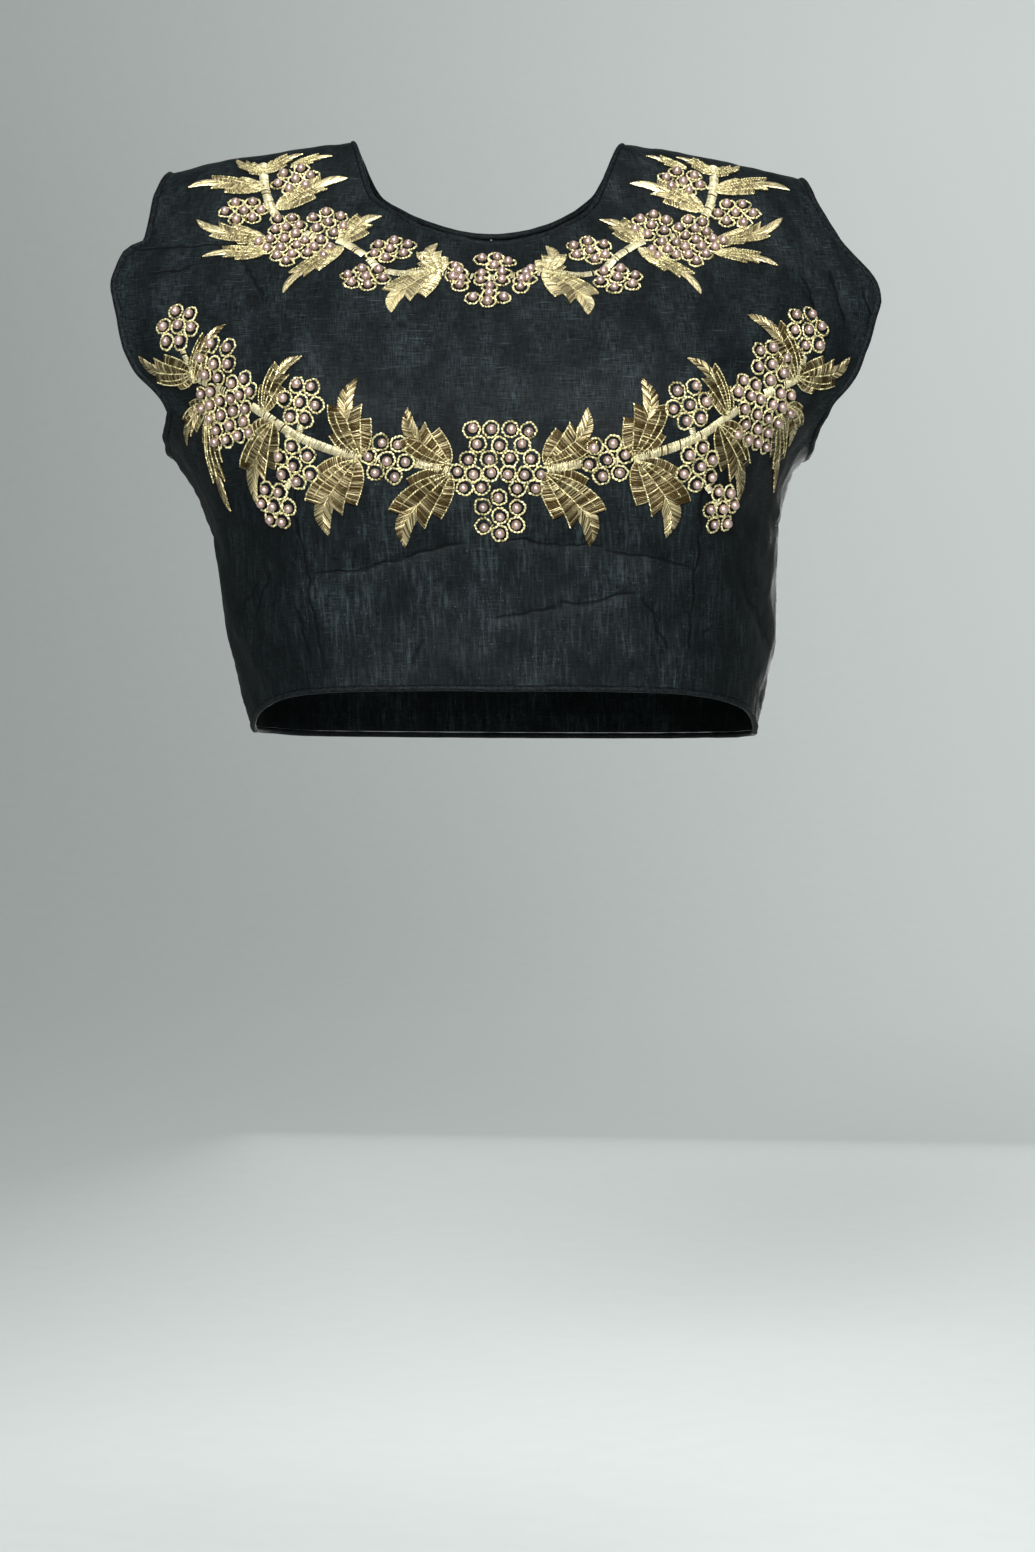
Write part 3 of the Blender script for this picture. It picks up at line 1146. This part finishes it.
def stitch_leaf(spot, length, middle_tone, satin, veins, ground, draws):
    """One leaf: its ground, its bands of satin between the ribs, its bright tip and its veins."""
    glow = middle_tone + draws.uniform(*LEAF_TONES)
    for band in LEAF_BANDS:
        outer, inner = LEAF_RIBS[band.outer], LEAF_RIBS[band.inner]
        reach = length * (rib_point(outer, 1)[0] + rib_point(inner, band.inner_share)[0]) / 2
        count = max(int(reach * BAND_STRETCH / BAND_PITCH), BAND_FEWEST)
        for share in np.linspace(BAND_FROM, 1.0, count):
            share += draws.uniform(-BAND_WANDER, BAND_WANDER)
            start = bowed(rib_point(outer, share), length)
            end = bowed(rib_point(inner, share * band.inner_share), length)
            tone = thread_tone(draws, glow, BAND_SPREAD)
            satin.add(thread_across(spot, start, end, BAND_ARCH, LEAF_EDGE_LIFT), tone)
        rows = []
        for share in np.linspace(0, 1, GROUND_ROWS):
            start = rib_point(outer, share)
            end = rib_point(inner, share * band.inner_share)
            places = [bowed(start + (end - start) * across, length) for across in (0, 0.5, 1)]
            rows.append([spot.lay(*place, GROUND_LIFT)[0] for place in places])
        ground.append(rows)
    count = max(int((TIP_TO - TIP_FROM) * length / TIP_PITCH), TIP_FEWEST)
    for side in (1, -1):
        for share in np.linspace(0, 1, count):
            place = TIP_FROM + (TIP_TO - TIP_FROM) * share
            slant = TIP_SLANT * (1 - share) + (1 - TIP_TO) * share
            wide = TIP_WIDE * (1 - share**TIP_ROUND)
            start = bowed((place, 0), length)
            end = bowed((place + slant * draws.uniform(*TIP_SLANTS), side * wide), length)
            arch = TIP_ARCH * (1 - TIP_FALL * share)
            tone = thread_tone(draws, TIP_TONE + glow, TIP_SPREAD)
            laid = thread_across(spot, start, end, arch, LEAF_EDGE_LIFT)
            satin.add(laid, tone, thickness=TIP_THICKNESS)
    for vein in LEAF_VEINS:
        shares = np.linspace(VEIN_FROM, vein.reach, max(int(length / VEIN_STEP), VEIN_FEWEST))
        laid = [spot.lay(*bowed(rib_point(vein.rib, share), length), vein.lift) for share in shares]
        veins.add(laid, draws.uniform(*VEIN_TONES))


def stitch_bunch(spot, rows, rings, pearls, middles, draws):
    """One bunch of pearls, each in a ring of chain stitches, adding the rings' middles to a list."""
    middle = (rows[0].down + rows[-1].down) / 2
    for row in rows:
        for number in range(row.count):
            x = (number - (row.count - 1) / 2) * row.pitch + draws.uniform(-PEARL_STRAY, PEARL_STRAY)
            y = middle - row.down + draws.uniform(-PEARL_STRAY, PEARL_STRAY)
            circle = []
            for turn in np.linspace(0, 2 * math.pi, RING_POINTS, endpoint=False):
                reach = RING_R + draws.uniform(-RING_WANDER, RING_WANDER)
                circle.append(spot.lay(x + reach * math.cos(turn), y + reach * math.sin(turn), RING_LIFT))
            rings.add(circle, draws.uniform(*RING_TONES), closed=True)
            middles.append(spot.lay(x, y, 0)[0])
            sway, way = draws.uniform(*PEARL_SWAY), draws.uniform(0, 2 * math.pi)
            pearl = spot.lay(x + sway * math.cos(way), y + sway * math.sin(way), PEARL_LIFT)
            pearls.add([pearl], draws.uniform(*PEARL_TONES), thickness=draws.uniform(*PEARL_SIZES))


def smooth_path(path):
    """Points along a path at even steps, on a smooth curve through its places."""
    path = np.array(path, float)
    steps = np.concatenate(((0,), np.cumsum(np.linalg.norm(np.diff(path, axis=0), axis=1))))
    slope = np.gradient(path, steps, axis=0, edge_order=1)
    wanted = np.linspace(0, steps[-1], max(int(steps[-1] / STEM_STEP), 3))
    low = np.clip(np.searchsorted(steps, wanted, side="right") - 1, 0, len(path) - 2)
    gap = steps[low + 1] - steps[low]
    share = ((wanted - steps[low]) / gap)[:, None]
    gap = gap[:, None]
    return on_curve((path[low], path[low + 1]), (slope[low] * gap, slope[low + 1] * gap), share)


def between(rows, length, reach):
    """The row of an array of points or directions at a length along them."""
    return Vector([np.interp(reach, length, rows[:, axis]) for axis in range(3)])


def stitch_stem(cloth, path, width, satin, ground, middles, draws):
    """A stem of satin threads laid across a path over a strip of ground, where no ring lies."""
    spine = [Vector(cloth.at(*front_view(x, drop))[0]) for x, drop in smooth_path(path)]
    normals = [cloth.at(point.x, point.z)[1] for point in spine]
    length = np.concatenate(((0,), np.cumsum([(b - a).length for a, b in zip(spine, spine[1:])])))
    spine_array, normal_array = np.array(spine), np.array(normals)
    count = int(length[-1] / MM / STEM_PITCH)
    spread = np.linspace(-0.5, 0.5, len(STEM_ARCH))
    strip = []
    for number, reach in enumerate(np.linspace(0, length[-1], count)):
        point = between(spine_array, length, reach)
        normal = between(normal_array, length, reach).normalized()
        along = between(spine_array, length, min(reach + MM, length[-1]))
        along -= between(spine_array, length, max(reach - MM, 0))
        along.normalize()
        across = normal.cross(along).normalized()
        slant = along * (STEM_SLANT + draws.uniform(-SLANT_WANDER, SLANT_WANDER))
        wide = width * draws.uniform(*STEM_WIDTHS) * MM
        laid = [
            (point + (across + slant * 0.5) * wide * aside + normal * lift * MM, normal)
            for aside, lift in zip(spread, STEM_ARCH)
        ]
        tone, kept = draws.uniform(STEM_DARK, STEM_LIGHT), draws.uniform() > STEM_GAPS
        if min((point - ring).length for ring in middles) < RING_CLEAR * MM:
            ground.append(strip)
            strip = []
            continue
        if number % STRIP_EVERY == 0:
            strip.append([laid[0][0], point + normal * STEM_ARCH[0] * MM, laid[-1][0]])
        if kept:
            satin.add(laid, tone)
    ground.append(strip)


def ground_piece(name, patches, material):
    """One mesh of the thin backing under the threads, from grids of points with three columns."""
    points, faces = [], []
    for patch in patches:
        if len(patch) < 2:
            continue
        start = len(points)
        points += [tuple(point) for row in patch for point in row]
        faces += grid_faces(len(patch), 3, start)
    mesh = bpy.data.meshes.new(name)
    mesh.from_pydata(points, [], faces)
    piece = placed(name, mesh)
    thick = piece.modifiers.new("thickness", "SOLIDIFY")
    thick.thickness, thick.offset = GROUND_CLOTH, 0
    return settled(piece, material)


def garland(prefix, cloth, stem, stalks, single, sprigs, tone, draws):
    """The pieces of one garland of embroidery, by what each is made of."""
    satin, stems, veins, rings, pearls = Lines(), Lines(), Lines(), Lines(), Lines()
    ground, middles = [], []
    placed_sprigs = [(sprig, 1) for sprig in single]
    placed_sprigs += [(sprig, side) for sprig in sprigs for side in (1, -1)]
    for sprig, side in placed_sprigs:
        spot = Spot(cloth, sprig, side)
        if sprig.kind == "leaf":
            stitch_leaf(spot, sprig.size, tone, satin, veins, ground, draws)
        else:
            stitch_bunch(spot, sprig.size, rings, pearls, middles, draws)
    whole = tuple((-x, drop) for x, drop in reversed(stem[1:])) + stem
    stitch_stem(cloth, whole, STEM_WIDTH, stems, ground, middles, draws)
    for stalk in stalks:
        for side in (1, -1):
            path = [(x * side, drop) for x, drop in stalk]
            stitch_stem(cloth, path, STALK_WIDTH, stems, ground, middles, draws)
    satin_size = {"Radius": SATIN_R, "Sides": SATIN_SIDES}
    stem_size = {"Radius": STEM_THREAD_R, "Sides": SATIN_SIDES}
    pearl_size = {"Radius": PEARL_R * MM, "Segments": PEARL_SEGMENTS}
    return [
        grown(f"{prefix}_leaves", satin, threads, satin_size, gold_satin),
        grown(f"{prefix}_stem", stems, threads, stem_size, cream_satin),
        grown(f"{prefix}_veins", veins, links, VEIN, pale_chain),
        grown(f"{prefix}_rings", rings, links, CHAIN, pale_chain),
        grown(f"{prefix}_pearls", pearls, beads, pearl_size, pearl),
        ground_piece(f"{prefix}_ground", ground, gold_ground),
    ]


def piping(name, angles, places, radius, flip, draws):
    """A round piping beside an edge, with the slight ripple of a bias strip."""
    points, normals = edge_curve(angles, places, radius, flip)
    steps = np.arange(len(points))
    short = np.sin(steps * RIPPLE_SHORT + draws.uniform(0, RIPPLE_START))
    ripple = 1 + RIPPLE_DEPTH * short + RIPPLE_DEPTH * np.sin(steps * RIPPLE_LONG)
    line = Lines()
    laid = [(Vector(point), Vector(normal)) for point, normal in zip(points, normals)]
    line.add(laid, PLAIN_TONE, closed=True, thickness=ripple)
    return grown(name, line, threads, {"Radius": radius, "Sides": PIPING_SIDES}, binding)


def ring_piping(name, row, radius, flip, draws):
    """The piping of the neck or the hem, whose ends meet at the centre back."""
    front, left, right = (grid[row] for grid in grids)
    angles = np.concatenate((right[:-1], front, left[-2::-1]))
    return piping(name, angles, np.full(len(angles), row_places()[row]), radius, flip, draws)


def armhole_piping(name, side, draws):
    """The piping round one armhole: up its front edge, over the shoulder and down the back."""
    places = row_places()
    up = np.arange(ROWS_SIDE, ROWS_SIDE + ROWS_ARMHOLE + 1)
    down = up[-2:0:-1]
    front_edge = grids[0][up, -1 if side > 0 else 0]
    back_edge = grids[1 if side > 0 else 2][down, -1]
    angles = np.concatenate((front_edge, back_edge))
    around = np.concatenate((places[up], places[down]))
    return piping(name, angles, around, ARMHOLE_PIPING_R, side, draws)


def hem_stitches(name, outers):
    """The line of stitches that holds the hem's facing."""
    line = Lines()
    for outer, up in outers:
        row = int(np.argmax(up[:, up.shape[1] // 2] >= FACING_HEIGHT * MM))
        laid = [(Vector(point), Vector((point[0], point[1], 0)).normalized()) for point in outer[row]]
        line.add(laid, PLAIN_TONE)
    return grown(name, line, links, STITCH, dark_thread)


def aimed(data, place, aim):
    """A camera or a lamp at a place, turned towards another."""
    thing = placed(data.name, data)
    thing.location = place
    thing.rotation_euler = (Vector(aim) - thing.location).to_track_quat("-Z", "Y").to_euler()
    return thing


def add_camera():
    data = bpy.data.cameras.new("camera")
    data.sensor_width = SENSOR
    data.lens = SENSOR * -CAMERA_PLACE[1] / VIEW_HEIGHT
    bpy.context.scene.camera = aimed(data, CAMERA_PLACE, (CAMERA_PLACE[0], 0, CAMERA_PLACE[2]))


def add_lamp(lamp):
    data = bpy.data.lights.new(lamp.name, "AREA")
    data.size, data.energy, data.spread = lamp.size, lamp.power, LAMP_SPREAD
    aimed(data, lamp.place, lamp.aim)


def backdrop_finish():
    """Pale paper with a soft wash of light across it."""
    made, tree, shader = finish("pale_paper", {"Roughness": 0.9, "Emission Strength": 1.0})
    place = tree.place()
    apart = tree.node("ShaderNodeSeparateXYZ", None, {0: place})
    across, up = Value(tree, apart.outputs[0]), Value(tree, apart.outputs[2])
    wash = (across * WASH_ACROSS + up * WASH_UP).over(*WASH_RANGE)
    tree.feed(shader.inputs["Emission Color"], tree.mixed(wash, BACKDROP_DARK, BACKDROP_LIGHT))
    grain = tree.noise(place, PAPER_CELLS)
    tree.feed(shader.inputs["Base Color"], tree.mixed(grain, PAPER_DARK, PAPER_LIGHT))
    return made


def add_backdrop():
    """A sheet of paper: a floor that turns up into a wall behind the blouse."""
    turns = np.linspace(0, math.pi / 2, WALL_STEPS)
    bend_y = WALL_Y - WALL_TURN * (1 - np.sin(turns))
    bend_z = FLOOR_Z + WALL_TURN * (1 - np.cos(turns))
    profile = [(-FLOOR_HALF, FLOOR_Z), *zip(bend_y, bend_z), (WALL_Y, WALL_TOP)]
    points = [(side * FLOOR_HALF, y, z) for y, z in profile for side in (-1, 1)]
    mesh = bpy.data.meshes.new("backdrop")
    mesh.from_pydata(points, [], grid_faces(len(profile), 2))
    mesh.shade_smooth()
    placed("backdrop", mesh, backdrop_finish())


def add_world():
    world = bpy.data.worlds.new("studio")
    world.use_nodes = True
    world.node_tree.nodes["Background"].inputs["Color"].default_value = (*WORLD_LIGHT, 1)
    bpy.context.scene.world = world


dart_seams = [(side * DART_HEM_X, DART_HEM_DROP, side * DART_TIP_X, DART_TIP_DROP) for side in (1, -1)]
silk = raw_silk("raw_silk", seen_lines(BACK_CREASES, []))
front_silk = raw_silk("raw_silk_front", seen_lines(CREASES, dart_seams))
binding = piping_silk()
gold_satin, cream_satin, pale_chain = (metal_thread(look) for look in THREAD_LOOKS)
dark_thread = plain_finish("dark_thread", DARK_THREAD, DARK_THREAD_ROUGH)
gold_ground = plain_finish("gold_ground", GOLD_GROUND, GOLD_GROUND_ROUGH)
pearl = pearl_finish()

threads, links, beads = thread_growth(), link_growth(), pearl_growth()

grids = (front_angles(), back_angles(1), back_angles(-1))
draws = np.random.default_rng(THREAD_SEED)

front_cloth = cloth_grid(grids[0], front_relief, COLUMNS_HALF_FRONT - 1)
front = closed_wall("front_panel", *front_cloth[:3], front_silk)
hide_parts("front")
back_cloths = [cloth_grid(grid, back_relief, 0) for grid in grids[1:]]
backs = []
for side_name, cloth_of_back in zip(("left", "right"), back_cloths):
    back = closed_wall(f"back_panel_{side_name}", *cloth_of_back[:3], silk)
    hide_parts(f"back_{side_name}")
    backs.append(back)

strip_points, strip_normals = bare_form(placket_angles(), row_places()[:, None])
strip_points = strip_points + strip_normals * (crumple(strip_points)[..., None] * MM - CLOTH - STRIP_GAP)
strip_inner = strip_points - strip_normals * PLACKET_CLOTH
placket = closed_wall("closure_strip", strip_points, strip_inner, grain_map(strip_points, 0), silk)
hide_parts("back_placket")

pipings = [
    ring_piping("neck_binding", -1, NECK_PIPING_R, -1, draws),
    ring_piping("hem_binding", 0, HEM_PIPING_R, 1, draws),
    armhole_piping("armhole_binding_left", 1, draws),
    armhole_piping("armhole_binding_right", -1, draws),
]
for piece, node in zip(pipings, PIPING_NODES):
    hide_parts(node)
stitches = hem_stitches("hem_stitches", [(cloth[0], cloth[3]) for cloth in (front_cloth, *back_cloths)])

laying = Cloth(front_cloth[0])
bust = garland("bust_vine", laying, BUST_STEM, BUST_STALKS, BUST_SINGLE, BUST_SPRIGS, BUST_TONE, draws)
neck = garland("neck_vine", laying, NECK_STEM, NECK_STALKS, NECK_SINGLE, NECK_SPRIGS, NECK_TONE, draws)
for pieces, node in ((bust, "bust_garland"), (neck, "neck_garland")):
    for piece in pieces:
        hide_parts(node)
for piece in (front, *backs, placket, stitches, *pipings, *bust, *neck):
    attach(piece, "root")

add_camera()
add_backdrop()
add_world()
for lamp in LAMPS:
    add_lamp(lamp)
bpy.context.scene.view_settings.view_transform = "Standard"
